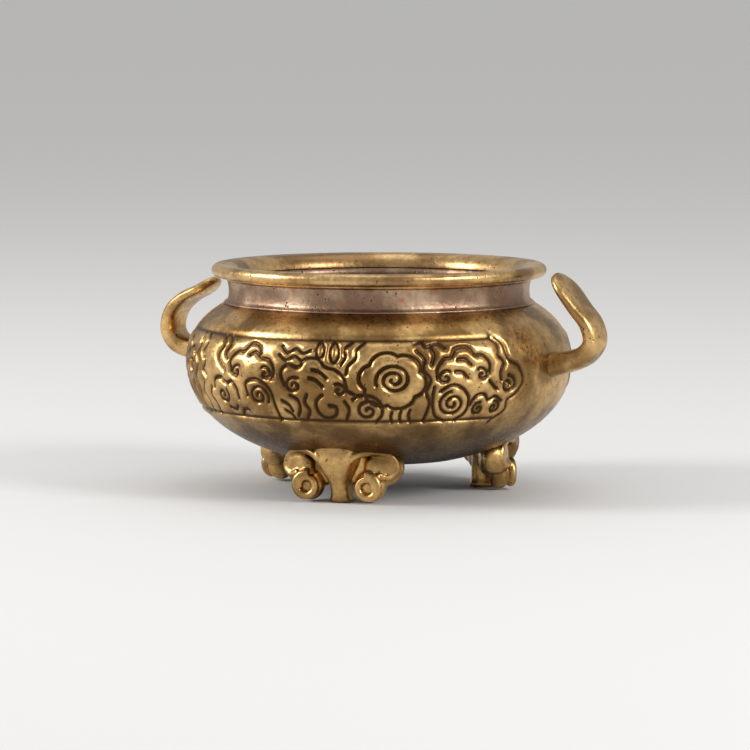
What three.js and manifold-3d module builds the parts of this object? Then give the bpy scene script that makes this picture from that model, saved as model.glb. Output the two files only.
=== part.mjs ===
// A miniature footed incense burner of aged brass: a round bowl on three scroll feet,
// with a straight neck, a rolled mouth rim and two strap handles, brazed together.
// Millimetres, +Z up. The origin is on the ground under the middle of the bowl,
// +X runs to the right handle and the front foot stands towards -Y.
import * as THREE from 'three';
import { mergeVertices } from 'three/addons/utils/BufferGeometryUtils.js';
import Module from 'manifold-3d';

// Bowl
const bellyRadius = 19.0;
const bellyHeight = 12.9;
const baseHeight = 3.3;
const baseRadius = 8.06;
const shoulderHeight = 18.6;
const shoulderLedge = 0.2;
const lowerPower = 2.15;
const upperPower = 2.3;
const bowlWall = 1.3;
const floorThickness = 1.5;

// Neck collar
const neckRadius = 15.0;
const neckWall = 1.3;
const neckHeight = 2.3;

// Mouth rim
const rimHeight = 1.5;
const rimOverhang = 1.5;
const rimLipRadius = 0.5;
const rimBead = 0.4;
const rimFlare = 1.2;

// Brazed seams: the feet and handles stand this far off the bowl
const seamGap = 0.3;

// Handles: centre lines as [distance beyond the belly, height above its widest ring],
// moved out to the stand-off and kept clear of the rim
const handleStandOff = 5.0;
const rimClearance = 0.5;
const handleWidthAtRoot = 3.4;
const handleWidthAtBend = 3.7;
const handleTongueWidth = 4.8;
const handleThicknessAtRoot = 2.9;
const handleThicknessAtBend = 1.8;
const handleTongueThickness = 1.3;
const rightHandleLine = [
  [-1.8, 0.1], [-0.5, 0.2], [1.6, 0.6], [3.3, 1.3], [4.2, 2.6],
  [3.8, 4.3], [2.6, 5.8], [1.3, 7.5], [0.0, 9.0],
];
const leftHandleLine = [
  [-1.8, 0.1], [-0.5, 0.1], [1.8, 0.3], [3.4, 0.8], [4.2, 1.9],
  [4.2, 3.1], [3.6, 4.4], [2.3, 5.5], [0.7, 6.3], [-0.8, 7.4],
];

// Feet
const footAngles = { foot_front: -83, foot_right: 37, foot_left: 157 };
const trunkTopWidth = 4.3;
const trunkAnkleWidth = 1.9;
const kneeRadius = 14.1;
const toeRadius = 12.0;
const heelRadius = 9.3;
const webThickness = 1.8;
const webHalfWidth = 4.3;
const webBottom = 0.9;
const webRise = 1.3;
const kneeRise = 0.9;
const trunkRise = 2.7;
const lowerScroll = { radius: 1.45, side: 3.13, height: 1.62, thickness: 2.6 };
const upperScrollRise = 0.2;
const upperScroll = { radius: 1.65, side: 4.3, height: baseHeight + upperScrollRise, thickness: 2.4 };

// Fineness of the round surfaces
const latheSteps = 64;
const curveSteps = 12;
const sectionPoints = 16;
const scrollSides = 28;
const weldDistance = 1e-5;

const wasm = await Module();
wasm.setup();

// A closed geometry with shared corners, as a solid that can be joined and cut.
function solidOf(geometry) {
  const bare = geometry.clone();
  bare.deleteAttribute('normal');
  bare.deleteAttribute('uv');
  const merged = mergeVertices(bare, weldDistance);
  const corners = merged.index.array;
  const triangles = [];
  for (let i = 0; i < corners.length; i += 3) {
    const [a, b, c] = corners.subarray(i, i + 3);
    if (a !== b && b !== c && c !== a) {
      triangles.push(a, b, c);
    }
  }
  return new wasm.Manifold(new wasm.Mesh({
    numProp: 3,
    vertProperties: new Float32Array(merged.attributes.position.array),
    triVerts: new Uint32Array(triangles),
  }));
}

function geometryOf(solid) {
  const mesh = solid.getMesh();
  const geometry = new THREE.BufferGeometry();
  geometry.setAttribute('position', new THREE.BufferAttribute(new Float32Array(mesh.vertProperties), 3));
  geometry.setIndex(new THREE.BufferAttribute(new Uint32Array(mesh.triVerts), 1));
  geometry.computeVertexNormals();
  return geometry;
}

// A profile of [radius, height] pairs, outer side upwards, turned about the Z axis.
function turned(profile) {
  const points = profile.map(([radius, height]) => new THREE.Vector2(radius, height));
  const geometry = new THREE.LatheGeometry(points, latheSteps);
  geometry.rotateX(Math.PI / 2);
  return geometry;
}

// Rings of equally many points, skinned one to the next and closed by a fan at each end.
function lofted(rings) {
  const around = rings[0].length;
  const positions = [];
  for (const ring of rings) {
    for (const point of ring) {
      positions.push(point.x, point.y, point.z);
    }
  }
  const indices = [];
  for (let i = 0; i + 1 < rings.length; i += 1) {
    for (let j = 0; j < around; j += 1) {
      const next = (j + 1) % around;
      const a = i * around + j;
      const b = i * around + next;
      const c = (i + 1) * around + next;
      const d = (i + 1) * around + j;
      indices.push(a, b, c, a, c, d);
    }
  }
  const last = (rings.length - 1) * around;
  for (let j = 1; j + 1 < around; j += 1) {
    indices.push(0, j + 1, j);
    indices.push(last, last + j, last + j + 1);
  }
  const geometry = new THREE.BufferGeometry();
  geometry.setAttribute('position', new THREE.Float32BufferAttribute(positions, 3));
  geometry.setIndex(indices);
  return geometry;
}

// Straight-line value between rows of [position, value].
function along(rows, position) {
  for (let i = 0; i + 1 < rows.length; i += 1) {
    const [from, start] = rows[i];
    const [to, end] = rows[i + 1];
    if (position <= to) {
      return start + (end - start) * Math.max(0, (position - from) / (to - from));
    }
  }
  return rows[rows.length - 1][1];
}

// Radius of a superellipse: full at its middle ring and closing over the reach.
function swell(radius, offset, reach, power) {
  return radius * Math.max(0, 1 - (offset / reach) ** power) ** (1 / power);
}

// The reach at which a superellipse has closed to the end radius at the given offset.
function reachFor(radius, endRadius, offset, power) {
  return offset / (1 - (endRadius / radius) ** power) ** (1 / power);
}

const lowerDepth = reachFor(bellyRadius, baseRadius, bellyHeight - baseHeight, lowerPower);
const upperRise = reachFor(bellyRadius, neckRadius + shoulderLedge, shoulderHeight - bellyHeight, upperPower);

// The bowl's outer surface, a lower and an upper half that meet at the belly.
function outerRadius(height) {
  if (height < bellyHeight) {
    return swell(bellyRadius, bellyHeight - height, lowerDepth, lowerPower);
  }
  return swell(bellyRadius, height - bellyHeight, upperRise, upperPower);
}

const neckBore = neckRadius - neckWall;
const cavityRadius = bellyRadius - bowlWall;
const cavityFloor = baseHeight + floorThickness;
const cavityDepth = lowerDepth - bowlWall;
const cavityRise = reachFor(cavityRadius, neckBore, shoulderHeight - bellyHeight, upperPower);

function innerRadius(height) {
  if (height < bellyHeight) {
    return swell(cavityRadius, bellyHeight - height, cavityDepth, lowerPower);
  }
  return swell(cavityRadius, height - bellyHeight, cavityRise, upperPower);
}

// Heights from one level to another, closer together towards the second.
function levels(from, to, steps) {
  return Array.from({ length: steps + 1 }, (_, i) => from + (to - from) * Math.sin((i / steps) * Math.PI / 2));
}

function bowlGeometry() {
  const lower = levels(bellyHeight, baseHeight, curveSteps).reverse();
  const upper = levels(bellyHeight, shoulderHeight, curveSteps / 2).slice(1);
  const outer = [...lower, ...upper].map((height) => [outerRadius(height), height]);
  const innerUpper = levels(bellyHeight, shoulderHeight, curveSteps / 2).reverse();
  const innerLower = levels(bellyHeight, cavityFloor, curveSteps).slice(1);
  const inner = [...innerUpper, ...innerLower].map((height) => [innerRadius(height), height]);
  return turned([[0, baseHeight], ...outer, ...inner, [0, cavityFloor]]);
}

const neckTop = shoulderHeight + neckHeight;
const mouthHeight = neckTop + rimHeight;

function collarGeometry() {
  return turned([
    [neckBore, shoulderHeight],
    [neckRadius, shoulderHeight],
    [neckRadius, neckTop],
    [neckBore, neckTop],
    [neckBore, shoulderHeight],
  ]);
}

// A rolled lip over a small bead, with a mouth that opens outwards at the top.
function rimGeometry() {
  const lipCentre = [neckRadius + rimOverhang - rimLipRadius, mouthHeight - rimLipRadius];
  const beadCentre = [neckRadius, neckTop + rimBead];
  const profile = [[neckBore, neckTop], [neckRadius, neckTop]];
  for (let i = 1; i <= curveSteps / 3; i += 1) {
    const angle = -Math.PI / 2 + (Math.PI * 0.75 * i) / (curveSteps / 3);
    profile.push([beadCentre[0] + rimBead * Math.cos(angle), beadCentre[1] + rimBead * Math.sin(angle)]);
  }
  for (let i = 0; i <= curveSteps; i += 1) {
    const angle = -Math.PI / 2 + (Math.PI * i) / curveSteps;
    const radius = lipCentre[0] + rimLipRadius * Math.cos(angle);
    const height = lipCentre[1] + rimLipRadius * Math.sin(angle);
    profile.push([radius, height]);
  }
  profile.push([neckBore + rimFlare, mouthHeight]);
  profile.push([neckBore + rimFlare / 3, mouthHeight - rimHeight / 2]);
  profile.push([neckBore, neckTop]);
  return turned(profile);
}

// The bowl's outer form, swelled by the seam gap, that feet and handles are cut back to.
function seamSolid() {
  const lower = levels(bellyHeight, baseHeight, curveSteps).reverse();
  const upper = levels(bellyHeight, shoulderHeight, curveSteps / 2).slice(1);
  const outer = [...lower, ...upper].map((height) => [outerRadius(height) + seamGap, height]);
  const top = shoulderHeight + seamGap;
  const bottom = baseHeight - seamGap;
  return solidOf(turned([
    [0, bottom],
    [outerRadius(baseHeight) + seamGap, bottom],
    ...outer,
    [outerRadius(shoulderHeight) + seamGap, top],
    [0, top],
  ]));
}

// A strap bent along its centre line, thick at the root and flat at its round-ended tongue.
function handleSolid(line) {
  const leastAtRim = neckRadius + rimOverhang + rimClearance + handleTongueThickness / 2;
  const points = line.map(([beyond, above]) => {
    const height = bellyHeight + above;
    const least = height > shoulderHeight ? leastAtRim : 0;
    return new THREE.Vector3(Math.max(bellyRadius + beyond, least), 0, height);
  });
  const curve = new THREE.CatmullRomCurve3(points);
  const length = curve.getLength();
  const endRadius = handleTongueWidth / 2;
  const widths = [[0, handleWidthAtRoot], [0.45, handleWidthAtBend], [0.8, handleTongueWidth]];
  const thicknesses = [[0, handleThicknessAtRoot], [0.4, handleThicknessAtBend], [0.75, handleTongueThickness]];
  const steps = 2 * curveSteps;
  const rings = [];
  for (let i = 0; i <= steps; i += 1) {
    const share = Math.sin((i / steps) * Math.PI / 2);
    const centre = curve.getPointAt(share);
    const ahead = curve.getTangentAt(share);
    const normal = new THREE.Vector3(-ahead.z, 0, ahead.x);
    const intoEnd = Math.max(0, share * length - (length - endRadius)) / endRadius;
    const roundness = Math.sqrt(Math.max(0.02, 1 - intoEnd * intoEnd));
    const halfWidth = 0.5 * along(widths, share) * roundness;
    const halfThickness = 0.5 * along(thicknesses, share) * Math.sqrt(roundness);
    const ring = [];
    for (let j = 0; j < sectionPoints; j += 1) {
      const angle = (2 * Math.PI * j) / sectionPoints;
      const across = Math.sign(Math.cos(angle)) * Math.abs(Math.cos(angle)) ** 0.5 * halfWidth;
      const through = Math.sign(Math.sin(angle)) * Math.abs(Math.sin(angle)) ** 0.5 * halfThickness;
      ring.push(centre.clone().addScaledVector(normal, through).add(new THREE.Vector3(0, across, 0)));
    }
    rings.push(ring);
  }
  const strap = lofted(rings);
  strap.computeBoundingBox();
  strap.translate(bellyRadius + handleStandOff - strap.boundingBox.max.x, 0, 0);
  return solidOf(strap);
}

// One scroll of a foot: a disc that faces outwards, on the given side of the trunk.
function scrollSolid(scroll, side, face) {
  const disc = new THREE.CylinderGeometry(scroll.radius, scroll.radius, scroll.thickness, scrollSides);
  disc.rotateZ(Math.PI / 2);
  disc.translate(face - scroll.thickness / 2, side * scroll.side, scroll.height);
  return solidOf(disc);
}

// A foot in its own frame, with +X outwards: a waisted trunk, a web behind it and four scrolls.
function footSolid() {
  const sections = [
    { height: 0, outer: toeRadius, width: trunkAnkleWidth },
    { height: 1.2, outer: toeRadius + 0.1, width: trunkAnkleWidth },
    { height: 2.2, outer: toeRadius + 1.1, width: trunkAnkleWidth + 0.2 },
    { height: 3.2, outer: kneeRadius - 0.1, width: trunkAnkleWidth + 1.2 },
    { height: baseHeight + kneeRise, outer: kneeRadius, width: trunkTopWidth - 0.3 },
    { height: baseHeight + trunkRise, outer: kneeRadius - 0.3, width: trunkTopWidth },
  ];
  const rings = sections.map(({ height, outer, width }) => [
    new THREE.Vector3(heelRadius, -width / 2, height),
    new THREE.Vector3(outer - 0.4, -width / 2, height),
    new THREE.Vector3(outer, -width / 4, height),
    new THREE.Vector3(outer, width / 4, height),
    new THREE.Vector3(outer - 0.4, width / 2, height),
    new THREE.Vector3(heelRadius, width / 2, height),
  ]);
  const webTop = baseHeight + webRise;
  const web = new THREE.BoxGeometry(webThickness, 2 * webHalfWidth, webTop - webBottom);
  web.translate(heelRadius + 0.6 + webThickness / 2, 0, (webTop + webBottom) / 2);
  let solid = solidOf(lofted(rings)).add(solidOf(web));
  for (const side of [-1, 1]) {
    solid = solid.add(scrollSolid(lowerScroll, side, toeRadius + 0.9));
    solid = solid.add(scrollSolid(upperScroll, side, toeRadius + 0.3));
  }
  return solid;
}

const brass = { color: 0xb98f4e, roughness: 0.38, metalness: 0.9 };
const neckBrass = { color: 0x96785f, roughness: 0.5, metalness: 0.8 };

function named(name, geometry, finish) {
  const mesh = new THREE.Mesh(geometry, new THREE.MeshStandardMaterial(finish));
  mesh.name = name;
  return mesh;
}

const group = new THREE.Group();
group.add(named('bowl', geometryOf(solidOf(bowlGeometry())), brass));
group.add(named('neck_collar', geometryOf(solidOf(collarGeometry())), neckBrass));
group.add(named('mouth_rim', geometryOf(solidOf(rimGeometry())), neckBrass));

const seam = seamSolid();
group.add(named('handle_right', geometryOf(handleSolid(rightHandleLine).subtract(seam)), brass));
const leftHandle = named('handle_left', geometryOf(handleSolid(leftHandleLine).subtract(seam)), brass);
leftHandle.rotation.z = Math.PI;
group.add(leftHandle);

const foot = footSolid().subtract(seam);
for (const [name, degrees] of Object.entries(footAngles)) {
  const mesh = named(name, geometryOf(foot), brass);
  mesh.rotation.z = THREE.MathUtils.degToRad(degrees);
  group.add(mesh);
}

export default group;
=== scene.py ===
import bpy
import numpy as np
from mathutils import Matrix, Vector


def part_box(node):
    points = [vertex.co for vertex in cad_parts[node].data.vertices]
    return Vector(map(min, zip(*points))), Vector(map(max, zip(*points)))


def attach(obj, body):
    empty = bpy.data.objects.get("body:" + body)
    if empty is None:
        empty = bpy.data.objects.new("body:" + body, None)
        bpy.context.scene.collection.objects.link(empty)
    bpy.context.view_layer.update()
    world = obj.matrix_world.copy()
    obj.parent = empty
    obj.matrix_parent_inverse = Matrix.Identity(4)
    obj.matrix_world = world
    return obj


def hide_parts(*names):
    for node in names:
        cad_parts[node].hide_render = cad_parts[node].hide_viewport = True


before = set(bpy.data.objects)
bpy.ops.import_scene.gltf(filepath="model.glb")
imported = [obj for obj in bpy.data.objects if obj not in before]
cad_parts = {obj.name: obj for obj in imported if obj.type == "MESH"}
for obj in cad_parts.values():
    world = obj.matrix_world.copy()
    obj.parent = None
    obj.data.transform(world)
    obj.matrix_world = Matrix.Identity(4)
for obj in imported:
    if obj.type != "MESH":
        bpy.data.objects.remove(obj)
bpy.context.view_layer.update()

# Bowl
# The round belly, cast in brass and chased all round with a band of traditional cloud scrolls.
# The chased lines keep a dark brown patination and the raised parts are rubbed bright; painted shade darkens the
# lower belly, more towards the bottom.
MM = 0.001
bowl_low, bowl_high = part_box("bowl")
belly_radius = (bowl_high[0] - bowl_low[0]) / 2
base_height = bowl_low[2]
shoulder_height = bowl_high[2]
belly_height = 12.9 * MM
lower_depth = 10.4 * MM
lower_power = 2.15
upper_rise = 8.48 * MM
upper_power = 2.3
bowl_wall = 1.3 * MM
floor_thickness = 1.5 * MM
neck_bore = 13.7 * MM
band_bottom = 8.1 * MM
band_top = 16.2 * MM
band_columns = 800
band_rows = 58
groove_width = 0.2
groove_depth = 0.34
pillow_height = 0.13
ridge_height = 0.24


def skin(name, rows, ring=False):
    """Mesh over a grid of points. Each row closes on itself; a ring also joins its last row to its
    first, and any other grid has each end closed by a fan to the mean of its end row. The faces are
    turned so that the enclosed volume, a sixth of the summed triple products, is positive."""
    count, around = rows.shape[:2]
    index = np.arange(count * around).reshape(count, around)
    lower = index if ring else index[:-1]
    upper = np.roll(index, -1, axis=0) if ring else index[1:]
    quads = np.stack([lower, np.roll(lower, -1, 1), np.roll(upper, -1, 1), upper], -1).reshape(-1, 4)
    points = rows.reshape(-1, 3)
    fans = np.empty((0, 3), int)
    if not ring:
        first = len(points)
        points = np.vstack([points, rows[0].mean(0), rows[-1].mean(0)])
        bottom = np.stack([np.full(around, first), np.roll(index[0], -1), index[0]], -1)
        top = np.stack([np.full(around, first + 1), index[-1], np.roll(index[-1], -1)], -1)
        fans = np.vstack([bottom, top])
    corners = points[np.vstack([quads[:, [0, 1, 2]], quads[:, [0, 2, 3]], fans])]
    volume = np.einsum("ij,ij->i", corners[:, 0], np.cross(corners[:, 1], corners[:, 2])).sum() / 6
    if volume < 0:
        quads = quads[:, ::-1]
        fans = fans[:, ::-1]
    mesh = bpy.data.meshes.new(name)
    mesh.from_pydata(points.tolist(), [], quads.tolist() + fans.tolist())
    mesh.polygons.foreach_set("use_smooth", np.ones(len(mesh.polygons), bool))
    mesh.update()
    piece = bpy.data.objects.new(name, mesh)
    bpy.context.collection.objects.link(piece)
    return piece


def swell(radius, offset, reach, power):
    """Radius of a superellipse: full at offset 0 and closing to nothing at the reach."""
    return radius * np.clip(1 - (offset / reach) ** power, 0, 1) ** (1 / power)


def smooth_line(points, samples=12):
    """Catmull-Rom curve through the points: each stretch is a cubic whose end slopes are half the
    chord between that point's neighbours."""
    p = np.asarray(points, float)
    p = np.vstack([2 * p[0] - p[1], p, 2 * p[-1] - p[-2]])
    t = np.linspace(0, 1, samples, endpoint=False)[:, None]
    stretches = [
        0.5 * (2 * b + (c - a) * t + (2 * a - 5 * b + 4 * c - d) * t**2 + (3 * b - a - 3 * c + d) * t**3)
        for a, b, c, d in zip(p[:-3], p[1:-2], p[2:-1], p[3:])
    ]
    return np.vstack(stretches + [p[-2:-1]])


def curl(across, up, radius, turns, start, hand=1, squash=0.85):
    """Spiral stroke: the radius shrinks evenly to a seventh while the angle runs through the turns."""
    t = np.linspace(0, 1, int(40 * turns))
    angle = np.radians(start) + hand * 2 * np.pi * turns * t
    reach = radius * (1 - 0.86 * t)
    return np.stack([across + reach * np.cos(angle), up + squash * reach * np.sin(angle)], -1)


def lobed(across, up, half_width, half_height, lobes, depth, start=0):
    """Closed cloud outline: an ellipse pinched in between its lobes by a share of its radius."""
    t = np.linspace(0, 2 * np.pi, 160)
    reach = 1 - depth * (1 - np.abs(np.sin(lobes * (t - np.radians(start)) / 2)) ** 0.6)
    return np.stack([across + half_width * reach * np.cos(t), up + half_height * reach * np.sin(t)], -1)


# Strokes of the band, as [distance round the belly from the front, height above the band's foot] in mm
cloud_strokes = [
    lobed(9.9, 4.4, 3.3, 2.75, 6, 0.16, 20),
    curl(10.0, 4.5, 1.75, 2.1, 200, -1),
    curl(16.0, 2.1, 1.45, 1.8, 100, 1),
    curl(7.5, 1.5, 1.25, 1.4, 20, 1),
    curl(-4.1, 2.6, 1.25, 1.6, 330, 1),
    curl(0.1, 3.8, 0.95, 1.3, 60, 1),
    curl(22.2, 3.7, 1.05, 1.3, 90, -1),
    curl(19.0, 1.45, 0.75, 1.3, 80, 1),
    curl(20.9, 1.5, 0.75, 1.3, 100, -1),
    curl(-6.8, 4.8, 0.75, 1.1, 60, 1),
    curl(-3.1, 4.8, 0.8, 1.1, 120, -1),
    curl(15.1, 4.6, 0.85, 1.1, 60, 1),
    curl(19.0, 4.8, 0.75, 1.1, 120, -1),
    curl(-9.3, 2.4, 0.95, 1.3, 40, -1),
    curl(4.7, 3.5, 0.75, 1.1, 120, -1),
    curl(-19.4, 2.2, 1.4, 1.8, 80, -1),
    curl(-16.2, 4.6, 0.85, 1.2, 120, -1),
    curl(-22.2, 3.7, 1.05, 1.3, 90, 1),
    curl(-21.3, 1.3, 0.7, 1.2, 100, 1),
    smooth_line([[-7.5, 4.8], [-7.7, 5.9], [-6.8, 6.7], [-5.9, 6.8], [-5.0, 7.6], [-3.9, 7.2], [-3.6, 6.3],
                 [-2.6, 6.1], [-2.1, 5.2], [-2.3, 4.4]]),
    smooth_line([[-5.1, 6.5], [-4.4, 6.8], [-3.8, 6.4]]),
    smooth_line([[-5.5, 2.6], [-5.6, 3.8], [-4.6, 4.2], [-3.6, 4.0], [-2.6, 3.2], [-2.3, 1.6], [-2.1, 0.3]]),
    smooth_line([[-0.9, 3.8], [-1.3, 5.0], [-0.6, 5.8], [0.6, 5.6], [1.3, 6.4], [2.6, 6.4], [3.3, 5.7],
                 [4.4, 5.4], [5.2, 4.6], [5.5, 3.5], [6.3, 3.0]]),
    smooth_line([[2.0, 5.4], [2.8, 5.2], [3.5, 4.6]]),
    smooth_line([[1.7, 4.6], [2.4, 4.4], [3.1, 3.8]]),
    smooth_line([[-1.4, 7.5], [-0.7, 6.9], [0.2, 7.3], [1.0, 6.9], [1.8, 7.2]]),
    smooth_line([[-1.6, 6.7], [-0.8, 6.2], [0.1, 6.6], [0.9, 6.2]]),
    lobed(2.75, 7.2, 0.42, 0.72, 2, 0.0),
    lobed(4.2, 7.0, 0.45, 0.9, 2, 0.0),
    smooth_line([[6.0, 8.0], [5.2, 7.4], [5.3, 6.6], [4.9, 5.9]]),
    smooth_line([[7.2, 8.0], [6.4, 7.3], [6.3, 6.5], [5.6, 5.8], [5.4, 5.0]]),
    smooth_line([[12.3, 7.2], [13.0, 6.4], [12.9, 5.4], [13.6, 4.5], [13.2, 3.3], [13.6, 2.2], [13.2, 0.4]]),
    smooth_line([[13.6, 7.7], [14.0, 6.8], [13.7, 5.9]]),
    smooth_line([[12.1, 7.8], [12.8, 7.9], [13.3, 7.5], [14.3, 7.8], [15.2, 7.4]]),
    smooth_line([[14.3, 4.5], [14.3, 5.6], [15.0, 6.4], [15.7, 6.5], [16.3, 7.3], [17.6, 7.4], [18.3, 6.7],
                 [19.2, 6.6], [19.9, 5.9], [19.8, 4.9]]),
    smooth_line([[16.4, 6.3], [17.2, 6.3], [17.8, 5.8]]),
    smooth_line([[16.1, 5.2], [16.9, 5.1], [17.4, 4.6]]),
    smooth_line([[14.0, 3.8], [13.9, 2.4], [14.3, 1.0], [15.3, 0.4]]),
    smooth_line([[14.6, 3.3], [15.7, 3.9], [16.9, 3.6], [17.7, 2.6], [17.6, 1.2], [16.6, 0.4]]),
    smooth_line([[18.0, 1.9], [18.4, 2.7], [19.4, 2.9], [20.0, 2.3], [20.8, 2.6], [21.7, 2.1]]),
    smooth_line([[20.3, 8.2], [21.1, 7.6], [21.0, 6.6], [21.6, 5.9], [21.2, 5.0], [21.3, 4.1]]),
    smooth_line([[19.9, 4.2], [20.4, 3.7], [20.9, 3.3]]),
    smooth_line([[6.0, 2.6], [6.7, 3.0], [7.9, 2.9], [8.8, 2.2], [8.9, 1.1], [8.3, 0.4]]),
    smooth_line([[9.9, 1.4], [9.8, 0.9], [9.9, 0.4]]),
    smooth_line([[10.8, 1.5], [10.7, 0.9], [10.8, 0.4]]),
    smooth_line([[11.7, 1.6], [11.6, 1.0], [11.8, 0.4]]),
    smooth_line([[3.0, 3.0], [2.3, 2.3], [2.4, 1.3], [3.2, 0.7], [4.2, 1.0], [4.3, 1.8], [3.6, 2.0]]),
    smooth_line([[1.4, 3.0], [1.1, 2.2], [1.5, 1.4], [1.1, 0.6]]),
    smooth_line([[5.2, 2.4], [5.6, 1.6], [5.3, 0.6]]),
    smooth_line([[-1.4, 2.3], [-0.7, 1.9], [-0.4, 1.3]]),
    smooth_line([[-1.2, 1.4], [-0.6, 1.0], [-0.3, 0.5]]),
    smooth_line([[-0.4, 2.9], [0.4, 2.4], [0.5, 1.6], [0.1, 0.8]]),
    smooth_line([[-8.4, 8.0], [-8.0, 7.3], [-8.5, 6.6], [-8.2, 6.0]]),
    smooth_line([[-9.6, 8.1], [-9.1, 7.2], [-9.7, 6.3], [-9.2, 5.4], [-8.5, 4.9]]),
    smooth_line([[-13.0, 8.1], [-12.3, 7.3], [-12.9, 6.3], [-12.2, 5.5], [-12.6, 4.6], [-11.9, 4.0]]),
    smooth_line([[-10.6, 3.0], [-10.3, 3.9], [-9.3, 4.1], [-8.5, 3.6], [-7.7, 3.8], [-7.0, 3.2], [-6.9, 2.2]]),
    smooth_line([[-8.9, 1.2], [-8.1, 1.0], [-7.5, 1.4]]),
    smooth_line([[-7.2, 0.5], [-6.7, 1.1], [-6.0, 1.1]]),
    smooth_line([[-11.6, 0.4], [-11.2, 1.3], [-11.7, 2.2], [-11.2, 3.1]]),
    smooth_line([[-13.2, 0.4], [-12.7, 1.4], [-13.2, 2.4], [-12.7, 3.4]]),
    smooth_line([[-15.3, 4.6], [-15.2, 5.8], [-16.0, 6.6], [-16.9, 6.5], [-17.5, 7.3], [-18.6, 7.3],
                 [-19.3, 6.5], [-20.2, 6.3], [-20.6, 5.2], [-20.2, 4.4]]),
    smooth_line([[-17.2, 5.9], [-18.0, 6.1], [-18.7, 5.6]]),
    smooth_line([[-17.6, 4.9], [-18.3, 5.0], [-18.9, 4.5]]),
    smooth_line([[-17.4, 2.0], [-17.6, 3.2], [-18.6, 4.0], [-19.8, 3.9], [-20.8, 3.2]]),
    smooth_line([[-14.2, 8.0], [-13.8, 7.0], [-14.4, 6.0], [-14.0, 4.9], [-14.6, 3.9], [-14.1, 2.7],
                 [-14.6, 1.5], [-14.2, 0.4]]),
    smooth_line([[-15.9, 0.4], [-15.5, 1.3], [-15.9, 2.3], [-15.5, 3.2]]),
    smooth_line([[-20.8, 8.2], [-21.4, 7.4], [-21.1, 6.6], [-21.7, 5.8]]),
]
band_end = smooth_line([[20.6, 8.5], [21.9, 7.6], [22.2, 6.2], [23.6, 5.4], [24.2, 3.9], [23.4, 2.7],
                        [22.4, 2.1], [22.5, 1.1], [20.8, 0.0]])
band_end_mirrored = band_end * [-1, 1]


def nearest(across, up, strokes):
    """Distance from each grid point to the nearest sample of any stroke, in mm."""
    best = np.full(across.shape, 9.0)
    for stroke in strokes:
        low = stroke.min(0) - 1.5
        high = stroke.max(0) + 1.5
        near = (across > low[0]) & (across < high[0]) & (up > low[1]) & (up < high[1])
        steps = np.linspace(0, len(stroke) - 1, 3 * len(stroke))
        fine = np.stack([np.interp(steps, np.arange(len(stroke)), stroke[:, k]) for k in (0, 1)], -1)
        reach = np.hypot(across[near][:, None] - fine[:, 0], up[near][:, None] - fine[:, 1]).min(1)
        best[near] = np.minimum(best[near], reach)
    return best


def band_relief(angle, height):
    """Relief in metres and groove darkness for points of the belly. Inside the band, the surface
    swells with the distance from the nearest groove and drops along it as a bell curve; a shallow
    groove runs along the band's top and its ends, and a ridge stands along its foot."""
    girth = belly_radius / MM
    turn = (angle + np.pi / 2 + np.pi / 2) % np.pi - np.pi / 2
    across = turn * girth
    up = (height - band_bottom) / MM
    tall = (band_top - band_bottom) / MM
    edge = np.interp(up[:, 0], band_end[::-1, 1], band_end[::-1, 0])[:, None]
    inside = (np.abs(across) < edge) & (up > 0) & (up < tall)
    top_line = [np.stack([np.linspace(-20.6, 20.6, 200), np.full(200, tall)], -1)]
    rim = nearest(across, up, [band_end, band_end_mirrored] + top_line)
    scroll = np.where(inside, nearest(across, up, cloud_strokes), 9.0)
    groove = np.exp(-((scroll / groove_width) ** 2))
    border = np.exp(-((rim / (1.1 * groove_width)) ** 2))
    cut = np.maximum(groove, 0.75 * border)
    swelling = np.where(inside, 1 - np.exp(-((np.minimum(scroll, rim) / 0.7) ** 2)), 0)
    fade = np.clip((edge - np.abs(across)) / 0.8, 0, 1) * np.clip(up / 0.5, 0, 1) * np.clip((tall - up) / 0.5, 0, 1)
    within = (np.abs(across) < 21.2).astype(float)
    ridge = within * np.exp(-((up / 0.24) ** 2))
    foot_groove = within * np.exp(-(((up - 0.45) / 0.17) ** 2))
    cut = np.maximum(cut, 0.8 * foot_groove)
    relief = pillow_height * swelling * fade - groove_depth * cut + ridge_height * ridge
    return relief * MM, cut


def bowl_profile():
    """Radii and heights from the underside's edge, up the outside, over the shoulder, down the
    inside to the floor's edge. Heights along the band are even, so that the relief is sampled alike."""
    low = base_height + (band_bottom - base_height) * np.linspace(0, 1, 22, endpoint=False) ** 1.5
    band = np.linspace(band_bottom, band_top, band_rows, endpoint=False)
    high = np.linspace(band_top, shoulder_height, 9)
    outer_z = np.concatenate([low, band, high])
    below = swell(belly_radius, np.maximum(belly_height - outer_z, 0), lower_depth, lower_power)
    above = swell(belly_radius, np.maximum(outer_z - belly_height, 0), upper_rise, upper_power)
    outer_r = np.where(outer_z < belly_height, below, above)
    cavity_radius = belly_radius - bowl_wall
    cavity_floor = base_height + floor_thickness
    rise = (shoulder_height - belly_height) / (1 - (neck_bore / cavity_radius) ** upper_power) ** (1 / upper_power)
    inner_z = np.concatenate([
        np.linspace(shoulder_height, belly_height, 8, endpoint=False),
        belly_height - (belly_height - cavity_floor) * np.sin(np.linspace(0, np.pi / 2, 12)),
    ])
    below = swell(cavity_radius, np.maximum(belly_height - inner_z, 0), lower_depth - bowl_wall, lower_power)
    above = swell(cavity_radius, np.maximum(inner_z - belly_height, 0), rise, upper_power)
    inner_r = np.where(inner_z < belly_height, below, above)
    return np.concatenate([outer_r, inner_r]), np.concatenate([outer_z, inner_z]), len(outer_z)


def turned_rows(radius, height, angle):
    """Points of a turned surface: each radius and height carried round the upright axis."""
    return np.stack([radius * np.cos(angle), radius * np.sin(angle), height + 0 * angle], -1)


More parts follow.
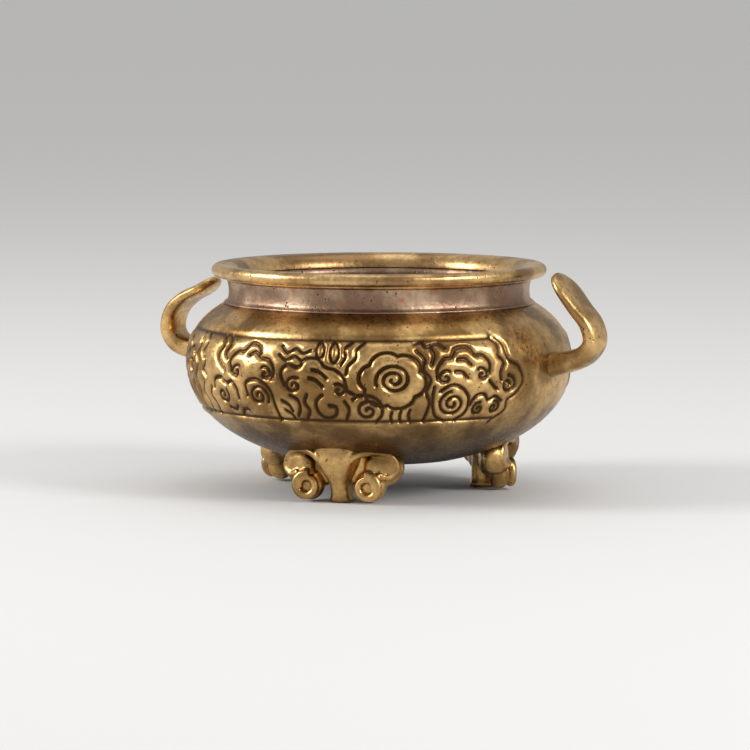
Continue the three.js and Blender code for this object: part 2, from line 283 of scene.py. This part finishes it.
profile_r, profile_z, outer_count = bowl_profile()
bowl_angle = np.linspace(0, 2 * np.pi, band_columns, endpoint=False)[None, :]
bowl_z = np.repeat(profile_z[:, None], band_columns, axis=1)
bowl_relief, bowl_groove = band_relief(np.repeat(bowl_angle, len(profile_z), axis=0), bowl_z)
bowl_relief[outer_count:] = 0
bowl_groove[outer_count:] = 0
lean = np.gradient(profile_r[:outer_count], profile_z[:outer_count])
shrink = np.ones(len(profile_z))
shrink[:outer_count] = 1 / np.sqrt(1 + lean**2)
bowl_r = profile_r[:, None] + bowl_relief * shrink[:, None]
bowl_piece = skin("chased_bowl", turned_rows(bowl_r, bowl_z, bowl_angle))
groove_layer = bowl_piece.data.attributes.new("groove", "FLOAT", "POINT")
groove_layer.data.foreach_set("value", np.concatenate([bowl_groove.ravel(), [0, 0]]))


def node(tree, kind, inputs=None, **settings):
    """A new shader node with its settings and its unlinked or linked inputs filled in."""
    made = tree.nodes.new(kind)
    for key, value in settings.items():
        setattr(made, key, value)
    for key, value in (inputs or {}).items():
        if isinstance(value, bpy.types.NodeSocket):
            tree.links.new(value, made.inputs[key])
        else:
            made.inputs[key].default_value = value
    return made


def blended(tree, share, first, second):
    """A colour mix of two colours or sockets by a share."""
    made = node(tree, "ShaderNodeMix", data_type="RGBA")
    for slot, value in ((0, share), (6, first), (7, second)):
        if isinstance(value, bpy.types.NodeSocket):
            tree.links.new(value, made.inputs[slot])
        else:
            made.inputs[slot].default_value = value
    return made.outputs[2]


def ramped(tree, source, low, high):
    """A smooth step of the source from 0 at low to 1 at high."""
    made = node(tree, "ShaderNodeMapRange", {"Value": source, "From Min": low, "From Max": high})
    made.interpolation_type = "SMOOTHSTEP"
    return made.outputs[0]


def noise(tree, where, scale, detail=4.0):
    made = node(tree, "ShaderNodeTexNoise", {"Vector": where, "Scale": scale, "Detail": detail})
    return made.outputs[0]


def aged_brass(name, rubbed, dull, patina_and_shade, grooves_and_low_shade=False, spots=0.0, shine=(0.24, 0.46), pitting=0.3):
    """Cast brass: a rubbed and a dull tone mixed in soft clouds, dark brown patination in the chased lines or
    hollows and in the casting pits, copper-red spots, and a roughness and bump from the same grain. With the
    groove attribute, painted shade also darkens the colour towards the bottom of the piece."""
    made = bpy.data.materials.new(name)
    made.use_nodes = True
    tree = made.node_tree
    shader = tree.nodes["Principled BSDF"]
    where = node(tree, "ShaderNodeTexCoord").outputs["Object"]
    clouds = ramped(tree, noise(tree, where, 230.0), 0.4, 0.6)
    grain = noise(tree, where, 2600.0, 5.0)
    speckle = ramped(tree, noise(tree, where, 1900.0, 6.0), 0.42, 0.6)
    colour = blended(tree, clouds, dull, rubbed)
    worn = node(tree, "ShaderNodeMath", {0: speckle, 1: 0.3}, operation="MULTIPLY").outputs[0]
    colour = blended(tree, worn, colour, dull)
    hollow = node(tree, "ShaderNodeNewGeometry").outputs["Pointiness"]
    colour = blended(tree, ramped(tree, hollow, 0.49, 0.42), colour, patina_and_shade)
    if grooves_and_low_shade:
        depth = node(tree, "ShaderNodeAttribute", attribute_name="groove").outputs["Fac"]
        colour = blended(tree, ramped(tree, depth, 0.12, 0.8), colour, patina_and_shade)
        # Painted shade: from 11.5 mm down to 2.5 mm height the colour blends into the dark brown, darker towards
        # the bottom of the lower belly.
        height = node(tree, "ShaderNodeSeparateXYZ", {"Vector": where}).outputs["Z"]
        colour = blended(tree, ramped(tree, height, 0.0115, 0.0025), colour, patina_and_shade)
    if spots:
        patches = ramped(tree, noise(tree, where, 330.0, 3.0), 0.66 - spots, 0.76 - spots)
        colour = blended(tree, patches, colour, (0.38, 0.15, 0.065, 1))
    pits = node(tree, "ShaderNodeTexVoronoi", {"Vector": where, "Scale": 2300.0}).outputs["Distance"]
    rare = ramped(tree, noise(tree, where, 700.0), 0.52, 0.62)
    pit_depth = node(tree, "ShaderNodeMath", operation="MULTIPLY")
    tree.links.new(ramped(tree, pits, 0.3, 0.1), pit_depth.inputs[0])
    tree.links.new(rare, pit_depth.inputs[1])
    colour = blended(tree, pit_depth.outputs[0], colour, patina_and_shade)
    tree.links.new(colour, shader.inputs["Base Color"])
    shader.inputs["Metallic"].default_value = 1.0
    rough = node(tree, "ShaderNodeMapRange", {"Value": grain, "From Min": 0.3, "From Max": 0.7,
                                              "To Min": shine[0], "To Max": shine[1]})
    tree.links.new(rough.outputs[0], shader.inputs["Roughness"])
    surface = node(tree, "ShaderNodeMath", operation="SUBTRACT")
    tree.links.new(grain, surface.inputs[0])
    tree.links.new(pit_depth.outputs[0], surface.inputs[1])
    bump = node(tree, "ShaderNodeBump", {"Strength": pitting, "Distance": 0.00006, "Height": surface.outputs[0]})
    tree.links.new(bump.outputs[0], shader.inputs["Normal"])
    return made


# Dark brown of the patina, also used for the painted shade on the bowl's lower belly.
patina_and_shade_brown = (0.055, 0.028, 0.012, 1)
bowl_piece.data.materials.append(
    aged_brass("chased_brass_low_shade", (0.68, 0.43, 0.175, 1), (0.25, 0.14, 0.047, 1), patina_and_shade_brown, grooves_and_low_shade=True))
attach(bowl_piece, "root")
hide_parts("bowl")

# Neck collar
# A short straight ring brazed on the shoulder, left with its pinkish-brown heat colour.
# Small copper-red spots of the braze show on it, and its hollow lower corner comes out darker.
collar_low, collar_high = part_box("neck_collar")
collar_radius = (collar_high[0] - collar_low[0]) / 2
collar_foot = collar_low[2]
collar_top = collar_high[2]
collar_waist = 0.18 * MM
ring_columns = 300


def collar_profile():
    """A ring's section: the outside drawn in by a sine at its waist with a small fillet at its foot,
    and a plain bore."""
    share = np.linspace(0, 1, 16)
    fillet = 0.35 * MM * np.exp(-((share / 0.1) ** 2))
    outer_r = collar_radius - collar_waist * np.sin(np.pi * share) + fillet
    outer_z = collar_foot + (collar_top - collar_foot) * share
    inner_z = np.linspace(collar_top, collar_foot, 6)
    return np.concatenate([outer_r, np.full(6, neck_bore)]), np.concatenate([outer_z, inner_z])


collar_r, collar_z = collar_profile()
ring_angle = np.linspace(0, 2 * np.pi, ring_columns, endpoint=False)[None, :]
collar_piece = skin("neck_ring", turned_rows(collar_r[:, None], collar_z[:, None], ring_angle), ring=True)
neck_patina = aged_brass("neck_patina", (0.5, 0.35, 0.235, 1), (0.24, 0.15, 0.098, 1), patina_and_shade_brown,
                         spots=0.08, shine=(0.34, 0.55), pitting=0.7)
collar_piece.data.materials.append(neck_patina)
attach(collar_piece, "root")
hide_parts("neck_collar")

# Mouth rim
# The rolled lip over a small bead, filed smooth and rubbed bright by handling.
# It is brazed on the collar, and its mouth flares outwards.
rim_low, rim_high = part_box("mouth_rim")
rim_radius = (rim_high[0] - rim_low[0]) / 2
rim_foot = rim_low[2]
rim_top = rim_high[2]
lip_radius = 0.62 * MM
bead_radius = 0.27 * MM
mouth_flare = 1.1 * MM


def rim_profile():
    """The rim's section: a bead, a hollow, a round lip, a flat top that rounds into a flared mouth."""
    turn = np.linspace(-np.pi / 2, np.pi / 3, 8)
    bead_r = collar_radius + 0.1 * MM + bead_radius * np.cos(turn)
    bead_z = rim_foot + bead_radius * (1 + np.sin(turn))
    turn = np.linspace(-0.62 * np.pi, 0.5 * np.pi, 18)
    lip_r = rim_radius - lip_radius * (1 - np.cos(turn))
    lip_z = rim_top - lip_radius * (1 - np.sin(turn))
    share = np.linspace(0, 1, 12)
    start = neck_bore + mouth_flare
    mouth_r = start - (start - neck_bore) * np.sin(share * np.pi / 2) ** 0.8
    mouth_z = rim_top - 0.06 * MM - (rim_top - 0.06 * MM - rim_foot) * share**1.2
    return np.concatenate([bead_r, lip_r, mouth_r]), np.concatenate([bead_z, lip_z, mouth_z])


rim_r, rim_z = rim_profile()
rim_piece = skin("rolled_rim", turned_rows(rim_r[:, None], rim_z[:, None], ring_angle), ring=True)
rim_piece.data.materials.append(
    aged_brass("rim_brass", (0.68, 0.45, 0.2, 1), (0.3, 0.175, 0.076, 1), patina_and_shade_brown, pitting=0.4))
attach(rim_piece, "root")
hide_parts("mouth_rim")

# Handles
# Two straps of brass bar, thick at the root, bent up and hammered flat to a round tongue by the rim.
# Each is brazed on the belly at its root.
handle_brass = aged_brass("handle_brass", (0.74, 0.48, 0.2, 1), (0.32, 0.185, 0.066, 1), patina_and_shade_brown, pitting=0.45)
handle_lines = {
    "handle_right": [[17.6, 13.0], [18.5, 13.1], [20.6, 13.5], [22.3, 14.2], [23.2, 15.5],
                     [22.8, 17.2], [21.6, 18.7], [20.3, 20.4], [19.0, 21.9]],
    "handle_left": [[17.6, 13.0], [18.5, 13.0], [20.8, 13.2], [22.4, 13.7], [23.2, 14.8],
                    [23.2, 16.0], [22.6, 17.3], [21.3, 18.4], [19.7, 19.2], [18.2, 20.3]],
}
handle_sides = {"handle_right": 1, "handle_left": -1}
strap_widths = [[0, 3.7], [0.12, 3.4], [0.45, 3.7], [0.8, 4.8], [1, 4.8]]
strap_thicknesses = [[0, 2.9], [0.12, 2.3], [0.4, 1.8], [0.75, 1.3], [1, 1.0]]
tongue_radius = 2.4


def strap_rows(line):
    """A strap along its centre line: at each station a superellipse of the width and thickness there,
    square to the line, and closed at the tongue by a half circle."""
    centre = smooth_line(line, 24)
    run = np.concatenate([[0], np.cumsum(np.linalg.norm(np.diff(centre, axis=0), axis=1))])
    share = np.sin(np.linspace(0, np.pi / 2, 90))
    station = share * run[-1]
    middle = np.stack([np.interp(station, run, centre[:, k]) for k in (0, 1)], -1)
    ahead = np.gradient(middle, station + 1e-6 * np.arange(90), axis=0)
    ahead /= np.linalg.norm(ahead, axis=1)[:, None]
    into_end = np.clip((station - (run[-1] - tongue_radius)) / tongue_radius, 0, 1)
    roundness = np.sqrt(np.maximum(0.004, 1 - into_end**2))
    widths, thicknesses = np.array(strap_widths), np.array(strap_thicknesses)
    half_width = 0.5 * np.interp(share, widths[:, 0], widths[:, 1]) * roundness
    half_thick = 0.5 * np.interp(share, thicknesses[:, 0], thicknesses[:, 1]) * roundness**0.4
    angle = np.linspace(0, 2 * np.pi, 40, endpoint=False)
    across = np.sign(np.cos(angle)) * np.abs(np.cos(angle)) ** 0.7 * half_width[:, None]
    through = np.sign(np.sin(angle)) * np.abs(np.sin(angle)) ** 0.7 * half_thick[:, None]
    x = middle[:, :1] - ahead[:, 1:] * through
    z = middle[:, 1:] + ahead[:, :1] * through
    return np.stack([x, across, z], -1) * MM


for handle, line in handle_lines.items():
    rows = strap_rows(line)
    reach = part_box(handle)[1][0] if handle_sides[handle] > 0 else -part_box(handle)[0][0]
    rows[..., 0] += reach - rows[..., 0].max()
    rows[..., :2] *= handle_sides[handle]
    strap = skin(handle + "_strap", rows)
    strap.data.materials.append(handle_brass)
    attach(strap, "root")
    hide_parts(handle)

# Feet
# Three cast feet: a waisted trunk that kneels out from the bowl, between a pair of coiled scrolls
# and the lobes that sweep back from them. Each is brazed under the belly.
foot_brass = aged_brass("foot_brass", (0.68, 0.43, 0.17, 1), (0.26, 0.145, 0.05, 1), patina_and_shade_brown, pitting=0.4)
foot_angles = {"foot_front": -83, "foot_right": 37, "foot_left": 157}
trunk_stations = np.array([
    # height, inner face, outer face, width
    [0.0, 9.3, 12.0, 2.0],
    [0.25, 9.2, 12.25, 2.3],
    [1.0, 9.4, 12.3, 2.0],
    [2.0, 9.4, 12.9, 2.1],
    [3.0, 9.4, 13.7, 3.0],
    [4.0, 9.4, 14.1, 3.9],
    [5.0, 9.4, 14.1, 4.4],
    [6.3, 9.8, 13.8, 4.6],
])
scroll_face = 12.7
scroll_centre = (3.1, 1.66)
scroll_radius = 1.6
lobe_centre = (4.3, 3.45)
lobe_radius = 1.75
foot_voxel = 0.11 * MM


def trunk_rows():
    """The trunk: superellipse sections between its inner and outer faces, stacked by height."""
    level = np.linspace(0, 6.3, 60)
    inner, outer, width = [smooth_column(level, k) for k in (1, 2, 3)]
    angle = np.linspace(0, 2 * np.pi, 48, endpoint=False)
    away = (inner + outer)[:, None] / 2 + (outer - inner)[:, None] / 2 * power_wave(np.cos(angle))
    aside = width[:, None] / 2 * power_wave(np.sin(angle))
    return np.stack([away, aside, level[:, None] + 0 * aside], -1)


def smooth_column(level, k):
    """A column of the trunk's stations at the levels, along the curve through its points."""
    line = smooth_line(trunk_stations[:, [0, k]], 16)
    return np.interp(level, line[:, 0], line[:, 1])


def power_wave(wave):
    """A cosine or sine flattened towards a square, for a superellipse section."""
    return np.sign(wave) * np.abs(wave) ** 0.75


def tube_rows(path, radius):
    """A round tube: circles of the given radii about the path's points, square to it."""
    ahead = np.gradient(path, axis=0)
    ahead /= np.linalg.norm(ahead, axis=1)[:, None]
    outward = np.array([1.0, 0, 0]) - ahead * ahead[:, :1]
    outward /= np.linalg.norm(outward, axis=1)[:, None]
    aside = np.cross(ahead, outward)
    angle = np.linspace(0, 2 * np.pi, 20, endpoint=False)[None, :, None]
    ring = outward[:, None] * np.cos(angle) + aside[:, None] * np.sin(angle)
    return path[:, None] + ring * np.asarray(radius)[:, None, None]


def coil_rows(side):
    """The scroll's raised coil: a spiral tube on its face, thinner and nearer the centre as it winds."""
    t = np.linspace(0, 1, 90)
    angle = np.radians(100) - 2 * np.pi * 1.35 * t
    reach = (scroll_radius - 0.4) * (1 - 0.45 * t)
    path = np.stack([
        scroll_face - 0.1 + 0.1 * t,
        side * (scroll_centre[0] + reach * np.cos(angle)),
        scroll_centre[1] + reach * np.sin(angle),
    ], -1)
    return tube_rows(path, 0.44 - 0.16 * t)


def disc_rows(away, aside, height, radius, thickness, lean):
    """A cushion-shaped disc that faces outwards: a superellipsoid, leaning back away from the trunk."""
    tilt = np.linspace(-np.pi / 2, np.pi / 2, 24)[1:-1, None]
    angle = np.linspace(0, 2 * np.pi, 40, endpoint=False)[None, :]
    flat = np.sign(np.sin(tilt)) * np.abs(np.sin(tilt)) ** 0.8 * thickness / 2
    wide = np.cos(tilt) ** 0.6 * radius
    y = wide * np.cos(angle)
    z = wide * np.sin(angle)
    x = flat - lean * np.sign(aside) * y
    return np.stack([away + x, aside + y, height + z], -1)


def sweep_rows(side):
    """The band that leaves the trunk's shoulder, rounds the lobe and tucks in over the scroll."""
    line = smooth_line([[13.3, 1.4, 4.3], [12.9, 2.4, 4.9], [12.1, 3.9, 5.1], [11.3, 5.2, 4.5],
                        [11.1, 5.6, 3.3], [11.7, 4.9, 2.6], [12.2, 4.0, 2.9]])
    line[:, 1] *= side
    return tube_rows(line, np.linspace(0.42, 0.34, len(line)))


def joined(name, grids, angle):
    """One mesh of several closed skins, turned to the foot's place round the bowl."""
    pieces = [skin(name, grid * MM) for grid in grids]
    turn = np.radians(angle)
    spin = np.array([[np.cos(turn), np.sin(turn), 0], [-np.sin(turn), np.cos(turn), 0], [0, 0, 1]])
    points, faces = [], []
    for piece in pieces:
        start = len(points)
        place = np.empty(3 * len(piece.data.vertices))
        piece.data.vertices.foreach_get("co", place)
        points.extend((place.reshape(-1, 3) @ spin).tolist())
        faces.extend([[start + corner for corner in face.vertices] for face in piece.data.polygons])
        bpy.data.objects.remove(piece)
    mesh = bpy.data.meshes.new(name)
    mesh.from_pydata(points, [], faces)
    whole = bpy.data.objects.new(name, mesh)
    bpy.context.collection.objects.link(whole)
    return whole


foot_grids = [trunk_rows()]
for side in (-1, 1):
    foot_grids.append(disc_rows(11.45, side * scroll_centre[0], scroll_centre[1], scroll_radius - 0.1, 1.9, 0.1))
    foot_grids.append(disc_rows(10.9, side * lobe_centre[0], lobe_centre[1], lobe_radius, 2.4, 0.35))
    foot_grids.append(disc_rows(10.6, side * 2.2, 3.4, 2.0, 2.0, 0.1))
    foot_grids.append(coil_rows(side))
    foot_grids.append(sweep_rows(side))
for name, angle in foot_angles.items():
    casting = joined(name + "_casting", foot_grids, angle)
    fuse = casting.modifiers.new("fuse", "REMESH")
    fuse.mode = "VOXEL"
    fuse.voxel_size = foot_voxel
    fuse.use_smooth_shade = True
    soften = casting.modifiers.new("soften", "SMOOTH")
    soften.factor = 0.5
    soften.iterations = 3
    casting.data.materials.append(foot_brass)
    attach(casting, "root")
    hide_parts(name)

# Studio
# A plain pale floor under soft lamps on the left, the right and above.
floor_reach = 30.0
floor_mesh = bpy.data.meshes.new("floor")
floor_mesh.from_pydata([(-floor_reach, -floor_reach, 0), (floor_reach, -floor_reach, 0),
                        (floor_reach, floor_reach, 0), (-floor_reach, floor_reach, 0)], [], [(0, 1, 2, 3)])
floor = bpy.data.objects.new("floor", floor_mesh)
bpy.context.collection.objects.link(floor)
floor_paint = bpy.data.materials.new("floor_paint")
floor_paint.use_nodes = True
floor_paint.node_tree.nodes["Principled BSDF"].inputs["Base Color"].default_value = (0.5, 0.495, 0.485, 1)
floor_paint.node_tree.nodes["Principled BSDF"].inputs["Roughness"].default_value = 0.8
floor_mesh.materials.append(floor_paint)

lamps = {
    # name: place, size, power
    "left_softbox": ((-0.32, -0.2, 0.2), 0.15, 1.4),
    "right_softbox": ((0.34, -0.06, 0.2), 0.12, 1.0),
    "top_softbox": ((0.0, 0.05, 0.4), 0.3, 0.3),
}
for name, (place, size, power) in lamps.items():
    lamp = bpy.data.lights.new(name, "AREA")
    lamp.size = size
    lamp.energy = power
    lamp_object = bpy.data.objects.new(name, lamp)
    lamp_object.location = place
    aim = bpy.data.objects.new(name + "_aim", None)
    aim.location = (0, 0, 0.012)
    bpy.context.collection.objects.link(lamp_object)
    bpy.context.collection.objects.link(aim)
    follow = lamp_object.constraints.new("TRACK_TO")
    follow.target = aim

world = bpy.data.worlds.new("studio")
bpy.context.scene.world = world
world.use_nodes = True
sky = world.node_tree
ray = node(sky, "ShaderNodeLightPath")
seen = node(sky, "ShaderNodeMath", operation="MAXIMUM")
sky.links.new(ray.outputs["Is Camera Ray"], seen.inputs[0])
sky.links.new(ray.outputs["Is Glossy Ray"], seen.inputs[1])
seen_through = node(sky, "ShaderNodeMath", operation="MAXIMUM")
sky.links.new(seen.outputs[0], seen_through.inputs[0])
sky.links.new(ray.outputs["Is Transmission Ray"], seen_through.inputs[1])
backdrop = node(sky, "ShaderNodeBackground", {"Color": (0.5, 0.495, 0.485, 1), "Strength": 1.0})
fill = node(sky, "ShaderNodeBackground", {"Color": (1.0, 1.0, 1.0, 1), "Strength": 0.95})
mixed = node(sky, "ShaderNodeMixShader")
sky.links.new(seen_through.outputs[0], mixed.inputs[0])
sky.links.new(fill.outputs[0], mixed.inputs[1])
sky.links.new(backdrop.outputs[0], mixed.inputs[2])
sky.links.new(mixed.outputs[0], sky.nodes["World Output"].inputs["Surface"])

# Camera
# It looks a little down from the front right, from well back, as the photograph does.
camera_azimuth = np.radians(26)
camera_elevation = np.radians(5.5)
camera_distance = 0.42
camera_aim = np.array([-0.00036, -0.00018, 0.0113])
camera_back = np.array([
    np.sin(camera_azimuth) * np.cos(camera_elevation),
    -np.cos(camera_azimuth) * np.cos(camera_elevation),
    np.sin(camera_elevation),
])
camera_data = bpy.data.cameras.new("camera")
camera_data.sensor_width = 36
camera_data.lens = 204
camera_data.clip_start = 0.01
camera = bpy.data.objects.new("camera", camera_data)
camera.location = camera_aim + camera_back * camera_distance
camera.rotation_euler = (np.pi / 2 - camera_elevation, 0, camera_azimuth)
bpy.context.collection.objects.link(camera)
bpy.context.scene.camera = camera
bpy.context.scene.view_settings.view_transform = "Standard"
